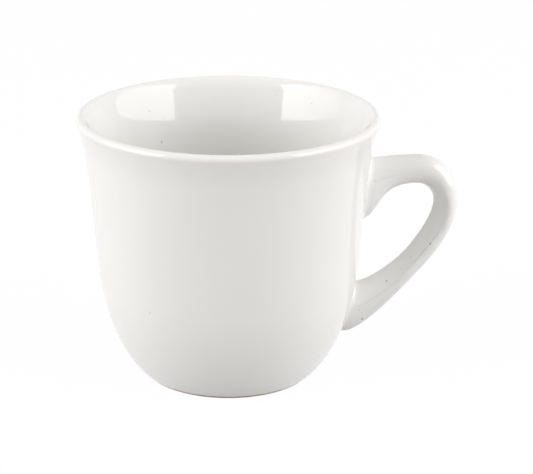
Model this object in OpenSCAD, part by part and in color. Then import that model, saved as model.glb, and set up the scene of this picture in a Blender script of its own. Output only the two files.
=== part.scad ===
// Tall cup in glazed porcelain: a turned body and a cast loop handle, joined by
// two thin beds of slip, one under each root of the handle.
// The origin is the centre of the foot ring, on the table. The handle points along +X.

/* [Cup body] */
// Outside diameter of the lip
rim_d = 82.5; // [79:0.5:96]
// Height from the table to the top of the lip
cup_h = 74; // [68:0.5:90]
// Outside diameter of the foot, where the side meets the table
foot_d = 47.6; // [40:0.2:58]
// Diameter at the belly, where the round bottom runs into the side
belly_d = 71; // [66:0.5:76]
// Height of the belly above the table
belly_h = 26; // [20:0.5:34]
// Diameter at the waist, where the side starts to flare
waist_d = 77.4; // [73:0.2:82]
// Height of the waist above the table
waist_h = 60; // [50:0.5:64]
// Slope of the side where it leaves the table, in degrees
foot_angle = 40; // [25:1:60]
// Slope of the side at the belly, in degrees
belly_angle = 82.4; // [76:0.2:88]
// Slope of the side at the waist, in degrees
waist_angle = 83.2; // [78:0.2:88]
// How far the lip leans outwards from upright, in degrees
lip_flare = 16.5; // [8:0.5:26]
// Thickness of the wall
wall_t = 4; // [3:0.1:4.6]
// Height inside the cup where the wall starts to flare
brim_h = 58; // [48:0.5:61]
// Slope of the inside there, in degrees
brim_angle = 82.4; // [78:0.2:86]
// Thickness of the wall just below the lip
lip_t = 2.95; // [2.2:0.05:3.6]
// Rounding of the lip's outer edge
lip_round = 0.9; // [0.5:0.05:1.3]
// How far the rounded inside of the lip reaches down
shoulder_drop = 3; // [2:0.1:4]
// Lean of the inside at the foot of that rounding, from upright, in degrees
shoulder_lean = 17.8; // [12:0.2:24]
// Thickness of the bottom inside the foot ring
base_t = 4.6; // [3:0.1:6]
// Diameter of the level floor inside the cup
floor_d = 34; // [24:0.5:40]

/* [Foot ring] */
// Width of the ring that stands on the table
foot_ring_w = 2.6; // [1.6:0.1:4]
// Depth of the hollow inside the ring
foot_recess = 1.8; // [1:0.1:3]
// How far the side of the hollow slopes inwards
hollow_run = 2.4; // [1.2:0.1:4]
// Slope of the inside of the ring where it leaves the table, in degrees
hollow_angle = 55; // [40:1:75]
// Rounding of both edges of the ring
foot_round = 0.5; // [0.2:0.1:1]

/* [Handle] */
// How far the handle reaches out past the lip
handle_reach = 22.5; // [16:0.5:32]
// Drop from the top of the lip to the crest of the handle's arm
arm_drop = 13; // [9:0.5:18]
// Distance from the wall to the crest of the arm
arm_out = 13; // [10:0.5:16]
// Height of the arm's crest above its upper edge at the wall
arm_rise = 0.7; // [0:0.1:3]
// Drop from the crest of the arm to the outermost point of the bow
bow_drop = 13.2; // [9:0.2:18]
// Height of the heel, where the handle's underside meets the wall
heel_h = 9.6; // [6:0.2:14]
// Height of the upper root on the wall
upper_root_h = 17.4; // [13:0.2:21]
// Height of the lower root on the wall
lower_root_h = 14.4; // [10:0.2:18]
// Thickness of the arm at its crest
arm_t = 8; // [6:0.1:10]
// Thickness of the bow at its outermost point
bow_t = 6.6; // [5:0.1:9]
// Thickness of the straight brace that runs down to the heel
brace_t = 6.9; // [5:0.1:9]
// Lean of the brace from level, in degrees
brace_lean = 49; // [40:1:58]
// Width of the handle where the fingers hold it
grip_w = 7.8; // [6:0.1:11]
// Width of both roots
root_w = 10; // [8:0.1:14]

/* [Slip joints] */
// Thickness of the bed of slip between a root and the wall
slip_t = 0.5; // [0.3:0.05:0.9]
// How far the slip spreads over the wall around a root
slip_spread = 1.3; // [0.8:0.1:2]

/* [Hidden] */
glaze = [0.93, 0.93, 0.91];
slip = [0.88, 0.87, 0.84];

// Gap that keeps the slip clear of the two pieces that it joins
seat_gap = 0.05;
// Squareness of the handle's section, where 2 is an ellipse
section_power = 2.1;
// From the bow to the heel the inner flank is nearly flat: its squareness, by marks along the handle
inner_power_marks = [[1, section_power], [2, 1.4], [3.1, 1.25], [3.5, 1.4], [4, 1.65]];
// There the handle is widest at a soft crease: its place from the middle of the thickness, by the
// same marks, as shares of half the thickness and outwards
crease_shares = [
    [1.8, 0], [2.1, 0.18], [2.4, 0.33], [2.75, 0.08], [3, 0],
    [3.15, 0.12], [3.3, 0.12], [3.55, 0], [4, -0.14]];
// Slopes of the handle's edges at the wall, in degrees
arm_lift = 4.5;
root_sweep = 29;
heel_rise = 13;
cradle_fall = 11.5;

// Pulls of the curves, as shares of the straight line between their ends
foot_pull_share = [0.3, 0.3];
side_pull_share = [0.3, 0.3];
flare_pull_share = [0.5, 0.5];
shoulder_pull_share = [0.25, 0.4];
brim_pull_share = [0.35, 0.4];
bowl_pull_share = [0.42, 0.42];
hollow_pull_share = [0.4, 0.4];
outer_pull_share = [[0.4, 0.55], [0.45, 0.4], [0.3, 0.4], [0.85, 0.1]];
inner_pull_share = [[0.3, 0.6], [0.4, 0.4], [0.3, 0.2], [0.25, 0.3]];
// Place of the brace between the bow and the heel, outwards and downwards
brace_out_share = 0.275;
brace_down_share = 0.5;
// How far up the end curves of the handle the slip climbs
climb_share = 0.09;

curve_steps = 12;
edge_steps = 6;
lip_steps = 8;
ring_sides = 28;
cap_rings = 5;
collar_rings = 4;

// A step of one along the direction a
function along(a) = [cos(a), sin(a)];

// The point at t, from 0 to 1, on a cubic curve that leaves p at angle a and reaches q at angle b
function curve_point(p, a, q, b, pull, t) =
    let (reach = norm(q - p))
    let (p_arm = p + pull[0] * reach * along(a), q_arm = q - pull[1] * reach * along(b))
    pow(1 - t, 3) * p + 3 * t * pow(1 - t, 2) * p_arm + 3 * t * t * (1 - t) * q_arm + pow(t, 3) * q;

// The points of such a curve after its first one
function curve(p, a, q, b, pull) =
    [for (i = [1:curve_steps]) curve_point(p, a, q, b, pull, i / curve_steps)];

function arc(centre, r, from, to, steps = edge_steps) =
    [for (i = [0:steps]) centre + r * along(from + (to - from) * i / steps)];

function after_first(list) = [for (i = [1:len(list) - 1]) list[i]];
function backwards(list) = [for (i = [len(list) - 1:-1:0]) list[i]];

// Outline of the cup's body, as radius and height
foot_r = foot_d / 2;
lip_centre = [rim_d / 2 - lip_round, cup_h - lip_round];
lip_outside = lip_centre + lip_round * along(-lip_flare);
belly = [belly_d / 2, belly_h];
waist = [waist_d / 2, waist_h];
belly_inside = belly - wall_t * along(belly_angle - 90);
floor_edge = [floor_d / 2, foot_recess + base_t];
hollow_edge = [foot_r - foot_ring_w - hollow_run, foot_recess];

ring_inner_edge = arc([foot_r - foot_ring_w + foot_round * tan(hollow_angle / 2), foot_round],
                      foot_round, -90 - hollow_angle, -90);
ring_outer_edge = arc([foot_r - foot_round * tan(foot_angle / 2), foot_round],
                      foot_round, -90, foot_angle - 90);
hollow_line = curve(hollow_edge, 0, ring_inner_edge[0], -hollow_angle, hollow_pull_share);
side_line = concat(
    curve(ring_outer_edge[edge_steps], foot_angle, belly, belly_angle, foot_pull_share),
    curve(belly, belly_angle, waist, waist_angle, side_pull_share),
    curve(waist, waist_angle, lip_outside, 90 - lip_flare, flare_pull_share));

// Radius of the cup's side at the height z
side_table = [for (p = side_line) [p[1], p[0]]];
function wall_r(z) = lookup(z, side_table);

// The lip is rounded tightly outside, and falls away to the inside in a wide rounded shoulder
shoulder_h = cup_h - shoulder_drop;
shoulder = [wall_r(shoulder_h) - lip_t, shoulder_h];
brim = [wall_r(brim_h), brim_h] - wall_t * along(brim_angle - 90);
lip_line = concat(
    arc(lip_centre, lip_round, -lip_flare, 90, lip_steps),
    curve(lip_centre + [0, lip_round], 180, shoulder, -90 - shoulder_lean, shoulder_pull_share));
bowl_line = concat(
    curve(shoulder, -90 - shoulder_lean, brim, brim_angle - 180, brim_pull_share),
    curve(brim, brim_angle - 180, belly_inside, belly_angle - 180, side_pull_share),
    curve(belly_inside, belly_angle - 180, floor_edge, 180, bowl_pull_share));

// Marks along the handle's outer and inner edges, as place and direction, from root to heel
crest_h = cup_h - arm_drop;
root_top_h = crest_h - arm_rise;
cradle_h = heel_h + lower_root_h;
function root_mark(z) = [wall_r(z) + slip_t + seat_gap, z];
crest = [wall_r(crest_h) + arm_out, crest_h];
bow = [rim_d / 2 + handle_reach, crest_h - bow_drop];
heel = root_mark(heel_h);
brace = [bow[0] + (heel[0] - bow[0]) * brace_out_share, bow[1] + (heel[1] - bow[1]) * brace_down_share];
brace_angle = brace_lean - 180;
outer_marks = [
    [root_mark(root_top_h), arm_lift],
    [crest, 0],
    [bow, -90],
    [brace, brace_angle],
    [heel, -180 - heel_rise]];
inner_marks = [
    [root_mark(root_top_h - upper_root_h), root_sweep],
    [crest - [0, arm_t], 0],
    [bow - [bow_t, 0], -90],
    [brace + brace_t * along(brace_angle - 90), brace_angle],
    [root_mark(cradle_h), cradle_fall - 180]];
handle_end = len(outer_marks) - 1;

// The point of an edge at t, which counts the marks passed
function edge_point(marks, pulls, t) =
    let (i = min(floor(t), handle_end - 1))
    curve_point(marks[i][0], marks[i][1], marks[i + 1][0], marks[i + 1][1], pulls[i], t - i);

// Half the handle's width at t, wider towards both roots
function half_w(t) =
    let (flare = pow(max(0, 1 - t), 2) + pow(max(0, t - handle_end + 1), 2))
    (grip_w + (root_w - grip_w) * flare) / 2;

// One section of the handle at t, made larger all round by grow
function squared(x, power) = sign(x) * pow(abs(x), 2 / power);
function section(t, grow) =
    let (o = edge_point(outer_marks, outer_pull_share, t), i = edge_point(inner_marks, inner_pull_share, t))
    let (middle = (o + i) / 2, half_t = (o - i) / 2, k = 1 + grow / norm(half_t))
    let (crease = lookup(t, crease_shares), inner_power = lookup(t, inner_power_marks))
    [for (s = [0:ring_sides - 1])
        let (a = 360 * s / ring_sides, inner = cos(a) < 0)
        let (power = inner ? inner_power : section_power, flank = inner ? 1 + crease : 1 - crease)
        let (c = k * (crease + flank * squared(cos(a), power)))
        [middle[0] + c * half_t[0], (half_w(t) + grow) * squared(sin(a), power), middle[1] + c * half_t[1]]];

// Points moved along X until they lie off away from the cup's side
function seated(points, off) =
    [for (p = points) let (r = wall_r(p[2]) + off) [sqrt(r * r - p[1] * p[1]), p[1], p[2]]];

// A ring drawn in towards its middle, and the middle itself
function middle_of(ring) = (ring[0] + ring[ring_sides / 2]) / 2;
function drawn_in(ring, k) = let (m = middle_of(ring)) [for (p = ring) m + k * (p - m)];
// A ring and the smaller rings inside it, all on the wall, from the middle outwards
function pad(ring, off) = [for (i = [1:cap_rings]) seated(drawn_in(ring, i / cap_rings), off)];
function pad_middle(ring, off) = seated([middle_of(ring)], off)[0];

// A closed skin over rings of ring_sides points, from one end point to the other
module skin(first, rings, last) {
    end = len(rings) * ring_sides + 1;
    points = concat([first], [for (r = rings) each r], [last]);
    faces = concat(
        [for (s = [0:ring_sides - 1]) [0, 1 + (s + 1) % ring_sides, 1 + s]],
        [for (i = [0:len(rings) - 2], s = [0:ring_sides - 1])
            let (a = 1 + i * ring_sides + s, b = 1 + i * ring_sides + (s + 1) % ring_sides)
            each [[a, b, b + ring_sides], [a, b + ring_sides, a + ring_sides]]],
        [for (s = [0:ring_sides - 1])
            [end, end - ring_sides + s, end - ring_sides + (s + 1) % ring_sides]]);
    polyhedron(points, faces, convexity = 6);
}

// The turned body: side, lip, bowl and foot ring in one outline
module cup_body() {
    color(glaze)
        rotate_extrude($fn = 96)
            polygon(concat([[0, foot_recess], hollow_edge], hollow_line, after_first(ring_inner_edge),
                           ring_outer_edge, side_line, after_first(lip_line), bowl_line,
                           [[0, foot_recess + base_t]]));
}

// The cast loop: a bowed arm at the top, and a straight brace down to the heel
module handle() {
    off = slip_t + seat_gap;
    top = section(0, 0);
    bottom = section(handle_end, 0);
    stations = concat(
        [for (i = [0:curve_steps]) climb_share + (1 - climb_share) * i / curve_steps],
        [for (i = [1:2 * curve_steps]) 1 + i / curve_steps],
        [for (i = [1:curve_steps]) handle_end - 1 + (1 - climb_share) * i / curve_steps]);
    color(glaze)
        skin(pad_middle(top, off),
             concat(pad(top, off), [for (t = stations) section(t, 0)], backwards(pad(bottom, off))),
             pad_middle(bottom, off));
}

// A bed of slip under the root at t, with a hollow fillet that climbs the handle as far as t_climb
module lute(t, t_climb) {
    spread = section(t, slip_spread);
    root = section(t, seat_gap);
    base = seated(root, slip_t + seat_gap);
    top = section(t_climb, seat_gap);
    edge = seated(spread, seat_gap);
    // Where the handle's side, carried on past its base, would meet the wall
    corner = seated([for (i = [0:ring_sides - 1])
        let (rise = max(top[i][0] - base[i][0], slip_t / 2))
        base[i] + slip_t / rise * (base[i] - top[i])], seat_gap);
    collar = [for (i = [1:collar_rings])
        let (k = i / collar_rings)
        (1 - k) * (1 - k) * edge + 2 * k * (1 - k) * corner + k * k * top];
    rings = concat(pad(spread, seat_gap), collar, [base], backwards(pad(root, slip_t)));
    ends = [pad_middle(spread, seat_gap), pad_middle(root, slip_t)];
    color(slip)
        if (t < t_climb) skin(ends[0], rings, ends[1]);
        else skin(ends[1], backwards(rings), ends[0]);
}

module upper_lute() { lute(0, climb_share); }

module lower_lute() { lute(handle_end, handle_end - climb_share); }

cup_body();
handle();
upper_lute();
lower_lute();
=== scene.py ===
# %% [markdown]
# A tall cup in white glazed porcelain, as a lesson in cells.
# The real cup is made of two castings: a body that is shaped on a turning wheel, and a loop handle
# that comes out of a mould and is stuck on with liquid clay, which potters call slip. The packed
# model holds those solids at their real size. This script loads them first, and then builds finer
# skins for the same pieces, because a glossy glaze shows every flat facet.

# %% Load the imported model
import math

import bpy
import numpy as np
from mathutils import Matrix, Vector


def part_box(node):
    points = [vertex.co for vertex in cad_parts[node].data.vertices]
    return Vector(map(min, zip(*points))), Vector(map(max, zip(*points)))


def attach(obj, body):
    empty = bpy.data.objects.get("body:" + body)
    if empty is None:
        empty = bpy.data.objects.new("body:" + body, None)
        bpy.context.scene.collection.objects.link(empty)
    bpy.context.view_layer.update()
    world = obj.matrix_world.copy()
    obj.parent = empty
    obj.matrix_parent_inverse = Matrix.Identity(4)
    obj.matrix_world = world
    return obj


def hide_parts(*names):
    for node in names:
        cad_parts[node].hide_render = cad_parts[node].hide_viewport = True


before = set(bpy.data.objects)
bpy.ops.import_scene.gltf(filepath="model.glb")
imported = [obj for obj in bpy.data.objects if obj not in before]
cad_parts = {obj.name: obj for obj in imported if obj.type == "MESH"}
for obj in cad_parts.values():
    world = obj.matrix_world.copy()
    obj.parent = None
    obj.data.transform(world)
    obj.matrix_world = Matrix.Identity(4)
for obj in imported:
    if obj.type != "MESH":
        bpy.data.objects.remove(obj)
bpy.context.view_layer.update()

print("The packed model has the nodes", sorted(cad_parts))

# %% [markdown]
# Sizes.
# Blender works in metres here, and a cup is easier to think of in millimetres, so every size below
# is a number times mm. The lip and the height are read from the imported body, and the other sizes
# are the ones that the potter's drawing of such a cup would give.

# %% Sizes of the body
mm = 0.001
body_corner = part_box("cup_body")[1]
rim_r = body_corner.y
cup_h = body_corner.z
belly = np.array([35.5 * mm, 26 * mm])
waist = np.array([38.7 * mm, 60 * mm])
foot_r = 23.8 * mm
foot_angle = 40
belly_angle = 82.4
waist_angle = 83.2
lip_flare = 16.5
wall_t = 4 * mm
lip_t = 2.95 * mm
lip_round = 1.4 * mm
shoulder_drop = 3 * mm
shoulder_lean = 17.8
brim_h = 58 * mm
brim_angle = 82.4
base_t = 4.6 * mm
floor_r = 17 * mm
print(f"The lip is {2000 * rim_r:.1f} mm across and the cup {1000 * cup_h:.1f} mm high")

# %% Sizes of the foot ring
ring_w = 2.6 * mm
hollow_h = 1.8 * mm
hollow_run = 2.4 * mm
hollow_angle = 55
foot_round = 0.5 * mm
# Both faces of the bottom are a little hollow, as a wheel leaves them
dome_h = 0.2 * mm
dish_depth = 0.15 * mm
# The glaze is wiped off the ring up to these heights, and ends there in a small round bead
outer_line_h = 0.75 * mm
inner_line_h = 0.9 * mm
glaze_t = 0.14 * mm
# The bare ring outside: its radius, the rounding of its edge, and its slope
bare_r = 23.85 * mm
bare_round = 0.15 * mm
bare_angle = 72
bare_pulls = [0.6, 0.3]
print(f"The foot is {2 * foot_r / mm:.1f} mm across, and its ring {ring_w / mm:.1f} mm wide")

# %% [markdown]
# Curves.
# A potter's profile is a smooth line through a few places where its slope is known, such as the
# belly and the waist. A cubic curve between two such places, which leaves and arrives at the given
# slopes, draws it with very few numbers. The pulls say how long each end keeps its slope, as a
# share of the straight distance.

# %% Curves in the plane
def along(degrees):
    """The step of length 1 in a direction."""
    return np.array([math.cos(math.radians(degrees)), math.sin(math.radians(degrees))])


def bend_at(start, start_angle, end, end_angle, pulls, t):
    """The points at t, from 0 to 1, of a curve that leaves start and reaches end at these slopes."""
    reach = np.linalg.norm(end - start)
    start_arm = start + pulls[0] * reach * along(start_angle)
    end_arm = end - pulls[1] * reach * along(end_angle)
    t = np.asarray(t, float)[..., None]
    s = 1 - t
    return s**3 * start + 3 * s * s * t * start_arm + 3 * s * t * t * end_arm + t**3 * end


def bend(start, start_angle, end, end_angle, pulls, steps=24):
    """The whole curve, as a row of points."""
    return bend_at(start, start_angle, end, end_angle, pulls, np.linspace(0, 1, steps + 1))


def arc(centre, radius, first, last, steps=8):
    """Part of a circle, from the direction first to the direction last, in degrees."""
    return np.array([centre + radius * along(a) for a in np.linspace(first, last, steps + 1)])


# %% [markdown]
# The body's outline.
# The body is round, so half of its section is all that has to be drawn: up the outside from the
# foot, over the round lip, and down the inside to the floor of the bowl. The inside follows the
# outside at the thickness of the wall.

# %% Side, lip and bowl
side_pulls = [0.3, 0.3]
flare_pulls = [0.5, 0.5]
shoulder_pulls = [0.12, 0.4]
brim_pulls = [0.35, 0.4]
bowl_pulls = [0.42, 0.42]
side_steps = 48
lip_steps = 16
bowl_steps = 32
foot_turn = foot_round * math.tan(math.radians(foot_angle / 2))
foot_edge = np.array([foot_r - foot_turn, foot_round]) + foot_round * along(foot_angle - 90)
lip_centre = np.array([rim_r - lip_round, cup_h - lip_round])
lip_outside = lip_centre + lip_round * along(-lip_flare)
bowl_floor = np.array([floor_r, hollow_h + base_t])

side_line = np.vstack([
    bend(foot_edge, foot_angle, belly, belly_angle, side_pulls, side_steps),
    bend(belly, belly_angle, waist, waist_angle, side_pulls)[1:],
    bend(waist, waist_angle, lip_outside, 90 - lip_flare, flare_pulls)[1:]])


def wall_r(height):
    """The cup's radius outside at a height."""
    return np.interp(height, side_line[:, 1], side_line[:, 0])


shoulder_h = cup_h - shoulder_drop
shoulder = np.array([wall_r(shoulder_h) - lip_t, shoulder_h])
brim = np.array([wall_r(brim_h), brim_h]) - wall_t * along(brim_angle - 90)
belly_inside = belly - wall_t * along(belly_angle - 90)
lip_top = lip_centre + [0, lip_round]
lip_line = np.vstack([
    arc(lip_centre, lip_round, -lip_flare, 90, lip_steps),
    bend(lip_top, 180, shoulder, -90 - shoulder_lean, shoulder_pulls, lip_steps)[1:]])
bowl_line = np.vstack([
    bend(shoulder, -90 - shoulder_lean, brim, brim_angle - 180, brim_pulls),
    bend(brim, brim_angle - 180, belly_inside, belly_angle - 180, side_pulls)[1:],
    bend(belly_inside, belly_angle - 180, bowl_floor, 180, bowl_pulls, bowl_steps)[1:]])
print("The side has", len(side_line), "points and the bowl", len(bowl_line))

# %% [markdown]
# The bare foot ring.
# Glaze melts in the kiln and would stick the cup to the shelf, so the potter wipes it off the ring
# that the cup stands on. What is left is a step: the glazed skin ends in a small round bead, and
# the bare clay lies one glaze thickness further in. The step is a tenth of a millimetre, but light
# catches it, so it is drawn in the outline and not painted.

# %% The glaze's edge and the ring
hollow_pulls = [0.4, 0.4]
bare_hollow_pulls = [0.3, 0.3]
bead_steps = 5
bare_side_steps = 8
bare_hollow_steps = 6


def cross_height(line, height):
    """Where a line crosses a height: the point, the slope there in degrees, and the points beyond."""
    above = int(np.argmax(line[:, 1] > height))
    low, high = line[above - 1], line[above]
    run, rise = high - low
    share = (height - low[1]) / rise
    slope = math.degrees(math.atan2(rise, run))
    return low + share * (high - low), slope, line[above:]


def bead(point, slope, side):
    """The round end of the glaze at a point of its surface; side is 1 outside and -1 inside."""
    out = along(slope - 90 * side)
    centre = point + glaze_t * (along(slope) - out)
    back = -along(slope)
    turned = np.linspace(0, math.pi / 2, bead_steps + 1)
    return np.array([centre + glaze_t * (math.cos(a) * back + math.sin(a) * out) for a in turned])


outer_point, outer_slope, glazed_side = cross_height(side_line, outer_line_h)
outer_bead = bead(outer_point, outer_slope, 1)
glazed_side = glazed_side[glazed_side[:, 1] > outer_bead[-1, 1]]

hollow_edge = np.array([foot_r - ring_w - hollow_run, hollow_h])
hollow_turn = foot_round * math.tan(math.radians(hollow_angle / 2))
ring_inside = np.array([foot_r - ring_w + hollow_turn, foot_round])
hollow_foot = ring_inside + foot_round * along(-90 - hollow_angle)
hollow_line = bend(hollow_foot, 180 - hollow_angle, hollow_edge, 180, hollow_pulls)
inner_point, inner_slope, glazed_hollow = cross_height(hollow_line, inner_line_h)
inner_bead = bead(inner_point, inner_slope, -1)
glazed_hollow = glazed_hollow[glazed_hollow[:, 1] > inner_bead[-1, 1]]

# Inside, the bare ring keeps the shape of the glazed one, one glaze thickness further in. Outside
# it is steeper, as a ring that was ground flat on a stone, and the glaze overhangs it a little
inner_shift = np.array([glaze_t / math.sin(math.radians(hollow_angle)), 0])
outer_arc = arc(np.array([bare_r - bare_round, bare_round]), bare_round, -90, bare_angle - 90)
inner_arc = arc(ring_inside + inner_shift, foot_round, -90 - hollow_angle, -90)
bare_side = bend(
    outer_arc[-1], bare_angle, outer_bead[0], outer_slope, bare_pulls, bare_side_steps)
bare_hollow = bend(
    inner_arc[0], 180 - hollow_angle, inner_bead[0], inner_slope, bare_hollow_pulls, bare_hollow_steps)
bare_line = np.vstack([bare_hollow[::-1], inner_arc[1:], outer_arc, bare_side[1:]])
print(f"The bare ring touches the table from {2 * inner_arc[-1, 0] / mm:.1f} mm across"
      f" to {2 * outer_arc[0, 0] / mm:.1f} mm")

# %% The whole outline
def dished(edge, depth, steps=10):
    """A shallow dish from the middle out to edge, whose middle lies depth below it."""
    shares = np.linspace(0, 1, steps + 1)
    return np.column_stack([edge[0] * shares, edge[1] - depth * (1 - shares**2)])


under_line = np.vstack([dished(hollow_edge, -dome_h)[:-1], glazed_hollow[::-1], inner_bead[:0:-1]])
over_line = np.vstack([
    outer_bead[1:], glazed_side, lip_line[1:], bowl_line[1:],
    dished(bowl_floor, dish_depth)[-2::-1]])
body_line = np.vstack([under_line, bare_line, over_line])
bare_first = len(under_line)
bare_last = bare_first + len(bare_line) - 1
print("The outline has", len(body_line), "points")

# %% [markdown]
# From an outline to a mesh.
# A lathe turns the outline about the cup's axis: each point becomes a ring, and neighbouring rings
# are joined by four-cornered faces. The handle and the beds of slip are rings too, only not round
# ones, so one function that skins a row of rings serves all four pieces. Both ends close in a fan
# round one point, which keeps every piece a closed solid.

# %% Skin a row of rings
def skin(name, first, rings, last):
    """A closed mesh over rings of points, from the end point first to the end point last."""
    count = len(rings[0])
    points = np.vstack([[first], *rings, [last]])
    end = len(points) - 1
    turn = [(s, (s + 1) % count) for s in range(count)]
    faces = [(0, 1 + b, 1 + a) for a, b in turn]
    for i in range(len(rings) - 1):
        low = 1 + i * count
        faces += [(low + a, low + b, low + count + b, low + count + a) for a, b in turn]
    faces += [(end, end - count + a, end - count + b) for a, b in turn]
    mesh = bpy.data.meshes.new(name)
    mesh.from_pydata([tuple(p) for p in points], [], faces)
    mesh.update()
    return mesh


# Only edges sharper than this stay sharp, as where the bead of glaze meets the bare clay
sharp_angle = math.radians(50)


def add_piece(name, mesh, node):
    """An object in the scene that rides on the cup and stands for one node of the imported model."""
    piece = bpy.data.objects.new(name, mesh)
    bpy.context.scene.collection.objects.link(piece)
    mesh.shade_smooth()
    mesh.set_sharp_from_angle(angle=sharp_angle)
    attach(piece, "root")
    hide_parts(node)


def set_mask(mesh, name, values):
    """A number for each point of a mesh, which a material can read by its name."""
    mask = mesh.attributes.new(name, "FLOAT", "POINT")
    mask.data.foreach_set("value", np.asarray(values, np.float32))


def smooth_step(x):
    """Zero up to 0, one from 1 on, and a smooth rise between."""
    x = np.clip(x, 0, 1)
    return x * x * (3 - 2 * x)


# %% Turn the body
lathe_sides = 224
turns = np.linspace(0, 2 * math.pi, lathe_sides, endpoint=False)
round_points = np.stack([np.cos(turns), np.sin(turns)], 1)


def ring_of(point):
    """One point of the outline, turned about the cup's axis."""
    return np.column_stack([point[0] * round_points, np.full(lathe_sides, point[1])])


ends = [(0, 0, body_line[0, 1]), (0, 0, body_line[-1, 1])]
body_mesh = skin("turned_body", ends[0], [ring_of(p) for p in body_line[1:-1]], ends[1])
add_piece("turned_body", body_mesh, "cup_body")
print("The body has", len(body_mesh.polygons), "faces")

# %% [markdown]
# The handle's edges.
# Seen from the side, the handle is a band between two smooth lines. The outer line leaves the wall,
# runs over the arm to its crest, turns down round the bow, and comes back along the straight brace
# to the heel. The inner line does the same, one thickness further in. Each line is a chain of the
# same cubic curves as before, through places where the slope is known.

# %% Sizes of the handle
handle_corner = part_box("handle")[1]
bow_r = handle_corner.x
crest_h = handle_corner.z
slip_t = 0.55 * mm
arm_out = 13 * mm
arm_rise = 0.7 * mm
bow_drop = 13.2 * mm
heel_h = 9.6 * mm
upper_root_h = 17.4 * mm
lower_root_h = 14.4 * mm
arm_t = 8 * mm
bow_t = 6.6 * mm
brace_t = 6.9 * mm
brace_lean = 49
grip_w = 7.8 * mm
root_w = 10 * mm
# Squareness of the section, where 2 is an ellipse
section_power = 2.1
# Slopes of both edges at the wall, in degrees
arm_lift = 4.5
root_sweep = 29
heel_rise = 13
cradle_fall = 11.5
# Place of the brace between the bow and the heel, outwards and downwards
brace_shares = [0.275, 0.5]
print(f"The handle reaches {1000 * (bow_r - rim_r):.1f} mm past the lip")

# %% Marks along both edges, from the upper root to the heel
def on_wall(height):
    """The place above the bed of slip at a height of the cup's side."""
    return np.array([wall_r(height) + slip_t, height])


root_top_h = crest_h - arm_rise
crest = np.array([wall_r(crest_h) + arm_out, crest_h])
bow = np.array([bow_r, crest_h - bow_drop])
heel = on_wall(heel_h)
brace = bow + (heel - bow) * brace_shares
brace_slope = brace_lean - 180
down = np.array([0, -1])
outer_marks = [
    (on_wall(root_top_h), arm_lift),
    (crest, 0),
    (bow, -90),
    (brace, brace_slope),
    (heel, -180 - heel_rise)]
inner_marks = [
    (on_wall(root_top_h - upper_root_h), root_sweep),
    (crest + arm_t * down, 0),
    (bow - [bow_t, 0], -90),
    (brace + brace_t * along(brace_slope - 90), brace_slope),
    (on_wall(heel_h + lower_root_h), cradle_fall - 180)]
outer_pulls = [[0.4, 0.55], [0.45, 0.4], [0.3, 0.4], [0.85, 0.1]]
inner_pulls = [[0.3, 0.6], [0.4, 0.4], [0.3, 0.2], [0.25, 0.3]]
heel_t = len(outer_marks) - 1


def edge_at(marks, pulls, t):
    """The point of an edge at t, which counts the marks that it has passed."""
    i = min(int(t), heel_t - 1)
    return bend_at(*marks[i], *marks[i + 1], pulls[i], t - i)


print("The crest of the arm is at", (crest / mm).round(1), "and the bow at", (bow / mm).round(1))

# %% [markdown]
# The handle's section, with its parting line.
# Cut across, the handle is a slightly squared oval. A cast piece also keeps a trace of the joint
# between the halves of its mould: a fine raised line that the potter scrapes down but seldom off.
# Here it runs along the side and wanders a little across the thickness. To make it as real
# geometry the section gets extra points close to that line, and they are lifted by a few
# hundredths of a millimetre.

# %% The section
# Points round the section, as shares of the way round from the outer edge. The parting line is
# a quarter and three quarters of the way round, and close to it the points are finer
ring_steps = 88
seam_steps = 5
back_seam_share = 0.25
front_seam_share = 0.75
seam_reach = 0.014
coarse_gap = 1.3 * seam_reach


def seam_distance_share(share):
    """How far a point is from the nearer parting line, on the way round."""
    return min(abs(share - back_seam_share), abs(share - front_seam_share))


coarse_shares = [i / ring_steps for i in range(ring_steps)
                 if seam_distance_share(i / ring_steps) > coarse_gap]
fine_shares = [seam + seam_reach * i / seam_steps for seam in (back_seam_share, front_seam_share)
               for i in range(-seam_steps, seam_steps + 1)]
ring_shares = np.array(sorted(round(share, 6) for share in coarse_shares + fine_shares))

# Where the parting line runs across the thickness, from the inner edge at -1 to the outer at 1
seam_marks = [0, 0.35, 0.7, 1, 2, 2.45, 2.65, 2.8, 3, 3.15, 3.3, 3.5, 4]
seam_place_shares = [0.4, 0.28, 0.06, 0, 0, 0.11, -0.01, -0.09, -0.04, 0.02, -0.06, -0.18, -0.12]
# From the bow to the heel the inner flank is nearly flat, and the handle is widest at a soft
# crease: the squareness of the inner flank, and the place of the crease across the thickness
flank_marks = [1, 2, 3.1, 3.5, 4]
inner_powers = [section_power, 1.4, 1.25, 1.4, 1.65]
crease_marks = [1.8, 2.1, 2.4, 2.75, 3, 3.15, 3.3, 3.5, 4]
crease_place_shares = [0, 0.18, 0.33, 0.08, 0, 0.02, -0.06, -0.18, -0.12]
seam_h = 0.05 * mm
seam_half_w = 0.13 * mm


def half_width(t):
    """Half the handle's width, which grows towards both roots."""
    flare = max(0, 1 - t) ** 2 + max(0, t - heel_t + 1) ** 2
    return (grip_w + (root_w - grip_w) * flare) / 2


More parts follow.
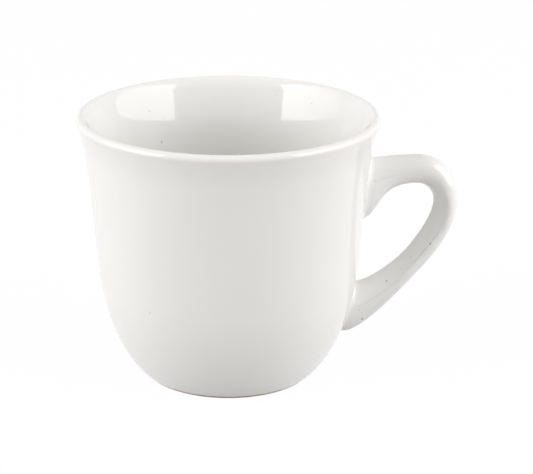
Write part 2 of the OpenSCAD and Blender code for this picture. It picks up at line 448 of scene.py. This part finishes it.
def section(t, grow=0, ridge=0):
    """The ring of points round the handle at t, made larger by grow and with its parting ridge."""
    outer = edge_at(outer_marks, outer_pulls, t)
    inner = edge_at(inner_marks, inner_pulls, t)
    middle, half_t = (outer + inner) / 2, (outer - inner) / 2
    thick = np.linalg.norm(half_t)
    place = np.interp(t, seam_marks, seam_place_shares)
    crease = np.interp(t, crease_marks, crease_place_shares)
    inner_power = np.interp(t, flank_marks, inner_powers)
    # Where the parting line lies on the way round, so that the fine points can be put there
    side = (1 - abs(place - crease) ** section_power) ** (1 / section_power)
    seam_angle = math.atan2(side, place - crease)
    angle = np.interp(ring_shares, [0, back_seam_share, 0.5, front_seam_share, 1],
                      [0, seam_angle, math.pi, 2 * math.pi - seam_angle, 2 * math.pi])
    # The squared oval, in shares of half the thickness and half the width, widest at the crease
    c, s = np.cos(angle), np.sin(angle)
    power = np.where(c < 0, inner_power, section_power)
    reach = (np.abs(c) ** power + np.abs(s) ** power) ** (-1 / power)
    wide = reach * s
    across = crease + reach * c * np.where(c < 0, 1 + crease, 1 - crease)
    across = across * (1 + grow / thick)
    wide = wide * (half_width(t) + grow)
    # The ridge of the parting line
    from_seam = np.abs(across - place) * thick
    on_sides = np.abs(wide) > grip_w / 4
    lift = ridge * seam_h * np.exp(-((from_seam / seam_half_w) ** 2)) * on_sides
    wide = wide + np.sign(wide) * lift
    return np.column_stack([middle[0] + across * half_t[0], wide, middle[1] + across * half_t[1]])


print("A section has", len(ring_shares), "points")

# %% [markdown]
# Sweeping the handle.
# A curve with a bevel could carry one section round the loop, but this section changes all the way,
# so each ring is worked out by itself. The rings stand close together, which keeps the shine of the
# glaze smooth. At both ends the last ring is pushed back along X until it fits the round wall, and
# smaller rings inside it close the end.

# %% Seat a ring on the wall
def seat(points, gap):
    """Points moved along X until they lie a gap away from the cup's side."""
    radius = wall_r(points[:, 2]) + gap
    return np.column_stack([np.sqrt(radius**2 - points[:, 1] ** 2), points[:, 1:]])


def ring_middle(ring):
    """The place halfway between a ring's highest and lowest points."""
    return (ring[np.argmax(ring[:, 2])] + ring[np.argmin(ring[:, 2])]) / 2


def pad(ring, gap, steps=5):
    """Smaller and smaller rings inside one, all on the wall, from the middle outwards."""
    middle = ring_middle(ring)
    return [seat(middle + (ring - middle) * i / steps, gap) for i in range(1, steps + 1)]


# %% Sweep the handle
span_steps = 30
# The slip climbs this far up the handle, counted in marks, and hides the handle's first rings
climb = 0.09
# The handle's ends lie halfway down in the slip
sunk = slip_t / 2
stations = np.linspace(0, heel_t, heel_t * span_steps + 1)
stations = stations[(stations > climb / 2) & (stations < heel_t - climb / 2)]


def fade_in(x, span):
    """Zero before a span, one after it, and a smooth rise along it."""
    return smooth_step((x - span[0]) / (span[1] - span[0]))


def stretch(x, rise, fall):
    """One along a stretch that fades in over rise and out over fall, and zero elsewhere."""
    return fade_in(x, rise) * (1 - fade_in(x, fall))


# What the scraping left of the parting ridge: a trace everywhere, more along the arm and most from
# the bow to the heel. Each stretch is a share, and the marks over which it fades in and out
ridge_trace = 0.12
ridge_stretches = [
    (0.6, [-1, 0], [0.65, 0.95]),
    (0.85, [2.2, 2.5], [3.85, 3.95])]
ridge_play = 0.08
ridge_waves = 17


def seam_strength(t):
    """How much of the ridge is left at t."""
    left = sum(share * stretch(t, rise, fall) for share, rise, fall in ridge_stretches)
    return ridge_trace + left + ridge_play * math.sin(ridge_waves * t)


root_ring = section(0)
heel_ring = section(heel_t)
root_pad = pad(root_ring, sunk)
heel_pad = pad(heel_ring, sunk)
handle_rings = root_pad + [section(t, 0, seam_strength(t)) for t in stations] + heel_pad[::-1]
root_end = seat(ring_middle(root_ring)[None], sunk)[0]
heel_end = seat(ring_middle(heel_ring)[None], sunk)[0]
handle_mesh = skin("cast_handle", root_end, handle_rings, heel_end)
add_piece("cast_handle", handle_mesh, "handle")
print("The handle has", len(handle_mesh.polygons), "faces")

# %% [markdown]
# The beds of slip.
# Slip is squeezed out round each root when the handle is pressed on, and a wet brush draws it into
# a hollow fillet. A bevel on a joined mesh could stand for it, but here it is a piece of its own,
# as in the clay: rings that leave the wall flat along the wall and meet the handle flat along the
# handle. Its width is a little uneven, as brushed clay is.

# %% Two fillets of slip
spread = 1.3 * mm
spread_play_share = 0.16
# The bed of slip reaches this far into the body's skin, so that no gap shows round its edge
bite = 0.05 * mm
lump_h = 0.06 * mm
collar_steps = 14
upper_phase = 0.4
lower_phase = 2.1
ring_turns = 2 * math.pi * ring_shares
# Waves round the ring, their share, and how far each shifts with the phase
brush_waves = [(3, 1, 1), (5, 0.6, 2.3), (11, 0.4, 4.1)]


def brushed(phase):
    """An uneven ring of values from -1 to 1, which closes on itself."""
    parts = [share * np.sin(waves * ring_turns + shift * phase) for waves, share, shift in brush_waves]
    return sum(parts) / sum(share for waves, share, shift in brush_waves)


def fillet(t, t_climb, phase):
    """The rings of a bed of slip under the root at t, which climbs the handle as far as t_climb."""
    uneven = 1 + spread_play_share * brushed(phase)
    wide, root, top = section(t, spread), section(t), section(t_climb)
    edge = seat(root + (wide - root) * uneven[:, None], -bite)
    base = seat(root, slip_t)
    rise = np.maximum(top[:, 0] - base[:, 0], slip_t / 2)[:, None]
    corner = seat(base + slip_t / rise * (base - top), -bite)
    collar = []
    for i in range(1, collar_steps + 1):
        k = (1 - math.cos(math.pi * i / collar_steps)) / 2
        ring = (1 - k) ** 2 * edge + 2 * k * (1 - k) * corner + k * k * top
        ring[:, 0] += lump_h * 4 * k * (1 - k) * brushed(phase + 1)
        collar.append(ring)
    return pad(edge, -bite) + collar + [base] + pad(root, sunk)[::-1]


def add_fillet(name, t, t_climb, phase, node):
    """The piece for the bed of slip under the root at t."""
    rings = fillet(t, t_climb, phase)
    ends = [ring_middle(rings[0]), ring_middle(rings[-1])]
    if t > t_climb:
        rings, ends = rings[::-1], ends[::-1]
    mesh = skin(name, ends[0], rings, ends[1])
    add_piece(name, mesh, node)
    print(name, "has", len(mesh.polygons), "faces")
    return mesh


upper_mesh = add_fillet("upper_slip_fillet", 0, climb, upper_phase, "upper_lute")
lower_mesh = add_fillet("lower_slip_fillet", heel_t, heel_t - climb, lower_phase, "lower_lute")

# %% [markdown]
# Masks.
# Some marks of the real finish follow the form and not space: the parting line is stained brown
# where the glaze has pulled thin over it, and the clay shows warm in a band under the lip. They
# could be painted on a picture that is wrapped round the cup. A number for each point of the mesh
# needs no picture: the material reads it by its name, and it stays on the form.

# %% Masks on the meshes
# The stain is strong on the middle of the brace, and faint along the arm and the heel
stain_stretches = [
    (0.3, [-1, 0], [0.55, 0.85]),
    (1, [2.38, 2.53], [2.95, 3.1]),
    (0.3, [2.95, 3.15], [3.7, 3.9])]
stain_trace = 0.02
stain_peak = 0.75
# It is broken up by this much, in two waves along the handle
break_share = 0.25
break_waves = (23, 9.5)
# It fades out over this share of the way round the section
stain_reach = seam_reach / 4.5


def stain_strength(t):
    """How dark the stain is at t."""
    strongest = max(share * stretch(t, rise, fall) for share, rise, fall in stain_stretches)
    play = math.sin(break_waves[0] * t) * math.sin(break_waves[1] * t)
    return stain_trace + stain_peak * (1 - break_share + break_share * play) * strongest


stain = np.zeros(len(handle_mesh.vertices))
ring_size = len(ring_shares)
across_seam = np.exp(-(((ring_shares - front_seam_share) / stain_reach) ** 2))
for row, t in enumerate(stations):
    first = 1 + (len(root_pad) + row) * ring_size
    stain[first:first + ring_size] = stain_strength(t) * across_seam
set_mask(handle_mesh, "stain", stain)
print("Stained points on the handle:", int((stain > 0.3).sum()))

# The glaze is thin on the outside, in a band under the lip
thin_rise = [cup_h - 3.2 * mm, cup_h - 1.6 * mm]
thin_fall = [cup_h - 1.3 * mm, cup_h - 0.5 * mm]
body_points = np.array([v.co for v in body_mesh.vertices])
heights = body_points[:, 2]
outside = np.hypot(body_points[:, 0], body_points[:, 1]) > wall_r(heights) - lip_round / 2
thin_glaze = stretch(heights, thin_rise, thin_fall) * outside
set_mask(body_mesh, "thin_glaze", thin_glaze)
print("Points with thin glaze:", int((thin_glaze > 0.3).sum()))

# %% [markdown]
# Shader groups for the glaze.
# The glaze on the castings and the glaze on the slip need the same small effects, so each effect
# is a node group that is built once: the unevenness that a melted glass keeps and the slow drift of
# its tone, the iron specks that burn through a white glaze, and single spots at chosen places. A
# group only puts out masks and heights. The shader stays in the material.

# %% Helpers for groups
def new_group(name, inputs, outputs):
    """A shader group with number or vector inputs, as (name, kind, default), and its two ends."""
    group = bpy.data.node_groups.new(name, "ShaderNodeTree")
    for label, kind, default in inputs:
        socket = group.interface.new_socket(name=label, in_out="INPUT", socket_type=kind)
        if default is not None:
            socket.default_value = default
    for label, kind in outputs:
        group.interface.new_socket(name=label, in_out="OUTPUT", socket_type=kind)
    return group, group.nodes.new("NodeGroupInput"), group.nodes.new("NodeGroupOutput")


def feed(tree, socket, value):
    """Gives a socket a link, if the value is another socket, or else the value itself."""
    if isinstance(value, bpy.types.NodeSocket):
        tree.links.new(value, socket)
    else:
        socket.default_value = value


def put(tree, kind, values=None, **settings):
    """Adds a node, sets its properties, and feeds its inputs."""
    node = tree.nodes.new(kind)
    for name, value in settings.items():
        setattr(node, name, value)
    for key, value in (values or {}).items():
        feed(tree, node.inputs[key], value)
    return node


def noise(tree, place, per_metre, detail):
    """Soft noise from 0 to 1, with so many patterns to the metre."""
    values = {"Vector": place, "Scale": per_metre, "Detail": detail}
    return put(tree, "ShaderNodeTexNoise", values).outputs["Fac"]


def sums(tree, operation, a, b, clamp=False):
    """One sum of two values, held within 0 and 1 on request."""
    return put(tree, "ShaderNodeMath", {0: a, 1: b}, operation=operation, use_clamp=clamp).outputs[0]


def ramp(tree, value, low, high, to_low=0.0, to_high=1.0):
    """Maps a value from low..high to to_low..to_high, smoothly, and holds it outside."""
    values = {"Value": value, "From Min": low, "From Max": high, "To Min": to_low, "To Max": to_high}
    node = put(tree, "ShaderNodeMapRange", values, interpolation_type="SMOOTHSTEP")
    return node.outputs["Result"]


def disc(tree, distance, edge, core):
    """One within core of a centre, zero beyond edge, and a straight fall between."""
    values = {"Value": distance, "From Min": edge, "From Max": core}
    return put(tree, "ShaderNodeMapRange", values).outputs["Result"]


# %% The uneven skin of melted glaze
# Waves, orange peel, drift of tone and places for pits, in patterns to the metre
wave_per_metre = 95.0
peel_per_metre = 1100.0
tone_per_metre = 38.0
pits_per_metre = 210.0
# Where noise stays for the most part, which a smooth ramp spreads out
noise_low = 0.3
noise_high = 0.7
# One cell in five has a pit, and its radius is a share of the cell
pit_draw_low = 0.8
pit_draw_high = 0.84
pit_r_share = 0.04


def make_glaze_skin():
    """The height of the melted skin, for a bump, and the slow drift of its tone."""
    group, start, end = new_group(
        "glaze_skin",
        [("Vector", "NodeSocketVector", None), ("Wave", "NodeSocketFloat", 0.005 * mm),
         ("Peel", "NodeSocketFloat", 0.0004 * mm), ("Pits", "NodeSocketFloat", 0.006 * mm)],
        [("Height", "NodeSocketFloat"), ("Tone", "NodeSocketFloat")])
    place = start.outputs["Vector"]
    cells = put(group, "ShaderNodeTexVoronoi", {"Vector": place, "Scale": pits_per_metre})
    draw = put(group, "ShaderNodeSeparateColor", {0: cells.outputs["Color"]}).outputs[0]
    chosen = ramp(group, draw, pit_draw_low, pit_draw_high)
    pit = sums(group, "MULTIPLY", ramp(group, cells.outputs["Distance"], pit_r_share, 0.0), chosen)
    waves = sums(group, "MULTIPLY", noise(group, place, wave_per_metre, 1.0), start.outputs["Wave"])
    peel = sums(group, "MULTIPLY", noise(group, place, peel_per_metre, 1.0), start.outputs["Peel"])
    pits = sums(group, "MULTIPLY", pit, start.outputs["Pits"])
    height = sums(group, "SUBTRACT", sums(group, "ADD", waves, peel), pits)
    tone = ramp(group, noise(group, place, tone_per_metre, 3.0), noise_low, noise_high)
    group.links.new(height, end.inputs["Height"])
    group.links.new(tone, end.inputs["Tone"])
    return group


glaze_skin = make_glaze_skin()
print("Built", glaze_skin.name, "with", len(glaze_skin.nodes), "nodes")

# %% Iron specks
# Least and greatest size of a speck, its least strength, and the dark core's share of its size
speck_size_low = 0.5
speck_size_high = 1.3
speck_strength_low = 0.3
speck_core_share = 0.4


def make_specks():
    """Small round specks, one to a cell of a pattern, with most cells left out."""
    group, start, end = new_group(
        "iron_specks",
        [("Vector", "NodeSocketVector", None), ("Per metre", "NodeSocketFloat", 150.0),
         ("Size share", "NodeSocketFloat", 0.03), ("Left out share", "NodeSocketFloat", 0.86)],
        [("Mask", "NodeSocketFloat")])
    cells = put(group, "ShaderNodeTexVoronoi",
                {"Vector": start.outputs["Vector"], "Scale": start.outputs["Per metre"]})
    draw = put(group, "ShaderNodeSeparateColor", {0: cells.outputs["Color"]})
    chosen = sums(group, "GREATER_THAN", draw.outputs[0], start.outputs["Left out share"])
    play = ramp(group, draw.outputs[1], 0.0, 1.0, speck_size_low, speck_size_high)
    size = sums(group, "MULTIPLY", start.outputs["Size share"], play)
    core = sums(group, "MULTIPLY", size, speck_core_share)
    dot = disc(group, cells.outputs["Distance"], size, core)
    strength = ramp(group, draw.outputs[2], 0.0, 1.0, speck_strength_low, 1.0)
    mask = sums(group, "MULTIPLY", sums(group, "MULTIPLY", dot, chosen), strength)
    group.links.new(mask, end.inputs["Mask"])
    return group


iron_specks = make_specks()
print("Built", iron_specks.name, "with", len(iron_specks.nodes), "nodes")

# %% One spot at a chosen place
ragged_per_metre = 4000.0
# The ragged edge lies between these shares of the radius, and the dark core ends at the third
ragged_low = 0.9
ragged_high = 1.5
spot_core_share = 0.5


def make_round_spot():
    """A round spot with a slightly ragged edge, for marks that sit where the real cup has them."""
    group, start, end = new_group(
        "round_spot",
        [("Vector", "NodeSocketVector", None), ("Place", "NodeSocketVector", None),
         ("Radius", "NodeSocketFloat", 0.2 * mm), ("Strength", "NodeSocketFloat", 1.0)],
        [("Mask", "NodeSocketFloat")])
    place = start.outputs["Vector"]
    radius = start.outputs["Radius"]
    distance = put(group, "ShaderNodeVectorMath",
                   {0: place, 1: start.outputs["Place"]}, operation="DISTANCE").outputs["Value"]
    ragged = ramp(group, noise(group, place, ragged_per_metre, 2.0),
                  noise_low, noise_high, ragged_low, ragged_high)
    edge = sums(group, "MULTIPLY", radius, ragged)
    core = sums(group, "MULTIPLY", radius, spot_core_share)
    mask = sums(group, "MULTIPLY", disc(group, distance, edge, core), start.outputs["Strength"])
    group.links.new(mask, end.inputs["Mask"])
    return group


round_spot = make_round_spot()
# Marks of the real cup that show from the front: place and radius in millimetres, and strength
spot_marks = [
    (56.05, -3.8, 36.15, 0.24, 0.9),
    (44.2, -3.15, 25.1, 0.22, 0.6),
    (37.6, -3.25, 13.8, 0.34, 0.85),
    (50.9, -2.65, 31.9, 0.25, 0.25),
    (36.4, -4.5, 17.1, 0.25, 0.2),
    (-22.7, -27.5, 27.1, 0.25, 0.35),
    (-9.2, -40.2, 73.8, 0.3, 0.4),
    (-17.3, 29.7, 57.2, 0.28, 0.6),
    (-20.6, 29.9, 66.5, 0.3, 0.22),
    (-16.6, 31.5, 64.1, 0.25, 0.2),
    (16.2, 33.6, 69.6, 0.25, 0.2)]
print("Built", round_spot.name, "for", len(spot_marks), "marks")

# %% [markdown]
# The glazed porcelain.
# White porcelain is never pure white: its clay is a faint warm grey, a thick glaze leans to green,
# and a thin one lets the clay through. The Principled shader does the rest, because a glaze is a
# matte white ground under a clear, nearly smooth skin, which is what its own specular layer is.

# %% Glazed porcelain
glaze_white = (0.862, 0.85, 0.826, 1)
glaze_grey = (0.85, 0.84, 0.818, 1)
clay_warm = (0.83, 0.78, 0.74, 1)
speck_brown = (0.16, 0.085, 0.04, 1)
stain_brown = (0.30, 0.215, 0.14, 1)
# How much of the clay and of the stain shows where their masks are full
thin_share = 0.4
stain_share = 0.85
glaze_rough_low = 0.05
glaze_rough_high = 0.09
glaze_ior = 1.5
# Height of the waves left in the glaze on the castings, and on the brushed slip
casting_wave_h = 0.005 * mm
slip_wave_h = 0.012 * mm


def blend_colours(tree, share, a, b):
    """A colour between a and b, all b where the share is 1."""
    node = put(tree, "ShaderNodeMix", {"Factor": share}, data_type="RGBA")
    colours = [socket for socket in node.inputs if socket.type == "RGBA"]
    feed(tree, colours[0], a)
    feed(tree, colours[1], b)
    return next(socket for socket in node.outputs if socket.type == "RGBA")


def place_group(tree, group, values):
    """One use of a group in a material, with its own values."""
    return put(tree, "ShaderNodeGroup", values, node_tree=group)


def new_material(name):
    """An empty material, its node tree and the place on the object, in metres."""
    material = bpy.data.materials.new(name)
    material.use_nodes = True
    tree = material.node_tree
    tree.nodes.clear()
    return material, tree, put(tree, "ShaderNodeTexCoord").outputs["Object"]


def close_material(tree, shader):
    """Gives the shader to the material's output."""
    put(tree, "ShaderNodeOutputMaterial", {"Surface": shader.outputs[0]})


def make_glaze(name, wave_h):
    """White glaze over porcelain. The masks thin_glaze and stain are zero where a mesh has none."""
    material, tree, place = new_material(name)
    melted = place_group(tree, glaze_skin, {"Vector": place, "Wave": wave_h})
    thin = put(tree, "ShaderNodeAttribute", attribute_name="thin_glaze").outputs["Fac"]
    stained = put(tree, "ShaderNodeAttribute", attribute_name="stain").outputs["Fac"]
    colour = blend_colours(tree, melted.outputs["Tone"], glaze_white, glaze_grey)
    colour = blend_colours(tree, sums(tree, "MULTIPLY", thin, thin_share), colour, clay_warm)
    browned = sums(tree, "MULTIPLY", stained, stain_share, clamp=True)
    colour = blend_colours(tree, browned, colour, stain_brown)
    dots = place_group(tree, iron_specks, {"Vector": place}).outputs["Mask"]
    for *place_mm, radius_mm, strength in spot_marks:
        spot = place_group(tree, round_spot, {
            "Vector": place, "Place": [v * mm for v in place_mm],
            "Radius": radius_mm * mm, "Strength": strength})
        dots = sums(tree, "MAXIMUM", dots, spot.outputs["Mask"])
    colour = blend_colours(tree, dots, colour, speck_brown)
    rough = ramp(tree, melted.outputs["Tone"], 0.0, 1.0, glaze_rough_low, glaze_rough_high)
    bump = put(tree, "ShaderNodeBump", {"Height": melted.outputs["Height"], "Distance": 1.0})
    shader = put(tree, "ShaderNodeBsdfPrincipled", {
        "Base Color": colour, "Roughness": rough, "Normal": bump.outputs["Normal"], "IOR": glaze_ior})
    close_material(tree, shader)
    return material


glazed_porcelain = make_glaze("glazed_porcelain_finish", casting_wave_h)
glazed_slip = make_glaze("glazed_slip_finish", slip_wave_h)
print("Glazes:", glazed_porcelain.name, glazed_slip.name)

# %% [markdown]
# Bare clay.
# Where the glaze is wiped off, the fired clay is dull and a little rough, and the kiln's flame
# turns it reddish next to the edge of the glaze. It is a second material on the body's own mesh,
# given to the faces of the bare ring, because the ring and the body are one piece of clay.

# %% Bare clay
clay_pale = (0.60, 0.50, 0.42, 1)
clay_flashed = (0.42, 0.19, 0.13, 1)
patches_per_metre = 160.0
grain_per_metre = 4200.0
grain_h = 0.015 * mm
# How red the clay is on the ring's face, and how red it is this high up, by the glaze's edge
flash_low = 0.2
flash_high = 0.8
flash_h = 0.7 * mm
clay_rough_low = 0.68
clay_rough_high = 0.88


def make_bare_clay():
    """Dull clay, pale on the ring's face and reddish up by the glaze, in uneven patches."""
    material, tree, place = new_material("bare_clay_finish")
    height = put(tree, "ShaderNodeSeparateXYZ", {0: place}).outputs["Z"]
    patches = sums(tree, "SUBTRACT", noise(tree, place, patches_per_metre, 4.0), 0.5)
    grain = noise(tree, place, grain_per_metre, 3.0)
    rise = ramp(tree, height, 0.0, flash_h, flash_low, flash_high)
    flash = sums(tree, "ADD", rise, patches, clamp=True)
    colour = blend_colours(tree, flash, clay_pale, clay_flashed)
    rough = ramp(tree, grain, noise_low, noise_high, clay_rough_low, clay_rough_high)
    grains = sums(tree, "MULTIPLY", grain, grain_h)
    bump = put(tree, "ShaderNodeBump", {"Height": grains, "Distance": 1.0})
    shader = put(tree, "ShaderNodeBsdfPrincipled", {
        "Base Color": colour, "Roughness": rough, "Normal": bump.outputs["Normal"]})
    close_material(tree, shader)
    return material


bare_clay = make_bare_clay()
body_mesh.materials.append(glazed_porcelain)
body_mesh.materials.append(bare_clay)
handle_mesh.materials.append(glazed_porcelain)
upper_mesh.materials.append(glazed_slip)
lower_mesh.materials.append(glazed_slip)

# Each row of faces joins two neighbouring points of the outline
rows = np.arange(len(body_mesh.polygons)) // lathe_sides
bare = (rows >= bare_first) & (rows < bare_last)
body_mesh.polygons.foreach_set("material_index", bare.astype(np.int32))
print("Bare faces on the foot ring:", int(bare.sum()))

# %% [markdown]
# The studio.
# The cup stands on a pale table between two large soft boxes, one on each side of the camera, with
# a gap between them. That lights both sides of a round white cup and leaves its front a little
# greyer, and it puts a sharp-edged picture of each box into the shiny bowl. The table and the space
# round it look white to the camera, but light the cup only as pale grey surfaces would.

# %% What the camera sees as white
plain_white = (1, 1, 1, 1)
room_light = 0.49


def seen_as_white(tree):
    """One for rays that show the surroundings: from the camera, in a reflection or through glass."""
    path = put(tree, "ShaderNodeLightPath")
    seen = sums(tree, "MAXIMUM", path.outputs["Is Camera Ray"], path.outputs["Is Glossy Ray"])
    return sums(tree, "MAXIMUM", seen, path.outputs["Is Transmission Ray"])


def make_room():
    """An even pale grey room, which shows as white."""
    world = bpy.data.worlds.new("soft_room")
    world.use_nodes = True
    tree = world.node_tree
    tree.nodes.clear()
    room = put(tree, "ShaderNodeBackground", {"Color": plain_white, "Strength": room_light})
    seen = put(tree, "ShaderNodeBackground", {"Color": plain_white, "Strength": 1.0})
    mixed = put(tree, "ShaderNodeMixShader", {
        0: seen_as_white(tree), 1: room.outputs[0], 2: seen.outputs[0]})
    put(tree, "ShaderNodeOutputWorld", {"Surface": mixed.outputs[0]})
    return world


bpy.context.scene.world = make_room()
print("The room lights the cup with a strength of", room_light)

# %% The table
table_sides = 96
table_radii = (0.1, 0.5, 2.5)
paper_dark = (0.45, 0.45, 0.45, 1)
paper_pale = (0.47, 0.47, 0.47, 1)
paper_rough = 0.9
fibres_per_metre = 900.0
table_glow_share = 0.92
# A little over one, to make up for the grey of the paper that is mixed in
table_white = 1.045


def make_table():
    """A round sheet of paper on the plane that the cup stands on."""
    turn = np.linspace(0, 2 * math.pi, table_sides, endpoint=False)
    points = np.vstack([
        np.column_stack([r * np.cos(turn), r * np.sin(turn), 0 * turn]) for r in table_radii])
    faces = [tuple(range(table_sides))]
    for ring in range(len(table_radii) - 1):
        low = ring * table_sides
        high = low + table_sides
        sides = [(s, (s + 1) % table_sides) for s in range(table_sides)]
        faces += [(low + a, high + a, high + b, low + b) for a, b in sides]
    mesh = bpy.data.meshes.new("table")
    mesh.from_pydata([tuple(p) for p in points], [], faces)
    table = bpy.data.objects.new("table", mesh)
    bpy.context.scene.collection.objects.link(table)
    return table


def make_table_finish():
    """Grey paper that keeps the cup's shadow, and is lifted to white where the camera sees it."""
    material, tree, place = new_material("table_paper")
    tone = blend_colours(tree, noise(tree, place, fibres_per_metre, 2.0), paper_dark, paper_pale)
    paper = put(tree, "ShaderNodeBsdfPrincipled", {"Base Color": tone, "Roughness": paper_rough})
    glow = put(tree, "ShaderNodeEmission", {"Color": plain_white, "Strength": table_white})
    share = sums(tree, "MULTIPLY", seen_as_white(tree), table_glow_share)
    shader = put(tree, "ShaderNodeMixShader", {0: share, 1: paper.outputs[0], 2: glow.outputs[0]})
    close_material(tree, shader)
    return material


table = make_table()
table.data.materials.append(make_table_finish())
print("The table is", 2 * table_radii[-1], "m across")

# %% The soft boxes
box_distance = 0.9
box_height = 0.49
box_w = 1.04
box_h = 0.9


def soft_box(name, azimuth, radiance, near_side, far_share):
    """An upright rectangular lamp at an azimuth from +X. Its cloth is brightest towards the camera.

    near_side says which side of the lamp that is, -1 or 1 along its width, and far_share is what
    is left of the light at the other side."""
    data = bpy.data.lights.new(name, "AREA")
    data.shape = "RECTANGLE"
    data.size, data.size_y = box_w, box_h
    data.energy = radiance * math.pi * box_w * box_h
    data.use_nodes = True
    tree = data.node_tree
    tree.nodes.clear()
    place = put(tree, "ShaderNodeNewGeometry").outputs["Parametric"]
    across = put(tree, "ShaderNodeSeparateXYZ", {0: place}).outputs["X"]
    near = 0.5 + near_side / 2
    cloth = ramp(tree, across, near, 1 - near, 1.0, far_share)
    glow = put(tree, "ShaderNodeEmission", {"Strength": cloth})
    put(tree, "ShaderNodeOutputLight", {"Surface": glow.outputs[0]})
    lamp = bpy.data.objects.new(name, data)
    bpy.context.scene.collection.objects.link(lamp)
    lamp.visible_camera = False
    lamp.location = (*(box_distance * along(azimuth)), box_height)
    lamp.rotation_euler = (math.radians(90), 0, math.radians(azimuth + 90))
    return lamp


right_box = soft_box("right_soft_box", azimuth=-14, radiance=4.1, near_side=-1, far_share=0.38)
left_box = soft_box("left_soft_box", azimuth=186, radiance=4.8, near_side=1, far_share=0.18)
print("The soft boxes stand at", list(right_box.location), "and", list(left_box.location))

# %% [markdown]
# The camera.
# It stands half a metre away, a little left of square to the handle, and looks down by about 20
# degrees, so that the bowl shows as a flat oval. The lens is long, as for product pictures. The cup
# sits left of the middle of the picture, and the lens is shifted for that instead of turned.

# %% The camera
picture_w = 533
cup_column = 228.4
camera_distance = 0.5
camera_azimuth = -4
camera_tilt = 19.51
aim_h = 38.16 * mm
lens_mm = 121.55
camera_data = bpy.data.cameras.new("camera")
camera_data.sensor_width = 36
camera_data.lens = lens_mm
camera_data.shift_x = (picture_w / 2 - cup_column) / picture_w
camera_data.clip_start = 0.01
camera = bpy.data.objects.new("camera", camera_data)
bpy.context.scene.collection.objects.link(camera)
flat = camera_distance * math.cos(math.radians(camera_tilt)) * along(camera_azimuth - 90)
camera.location = (*flat, aim_h + camera_distance * math.sin(math.radians(camera_tilt)))
camera.rotation_euler = (math.radians(90 - camera_tilt), 0, math.radians(camera_azimuth))
bpy.context.scene.camera = camera
bpy.context.scene.view_settings.view_transform = "Standard"
print("The camera is at", [round(v, 3) for v in camera.location])
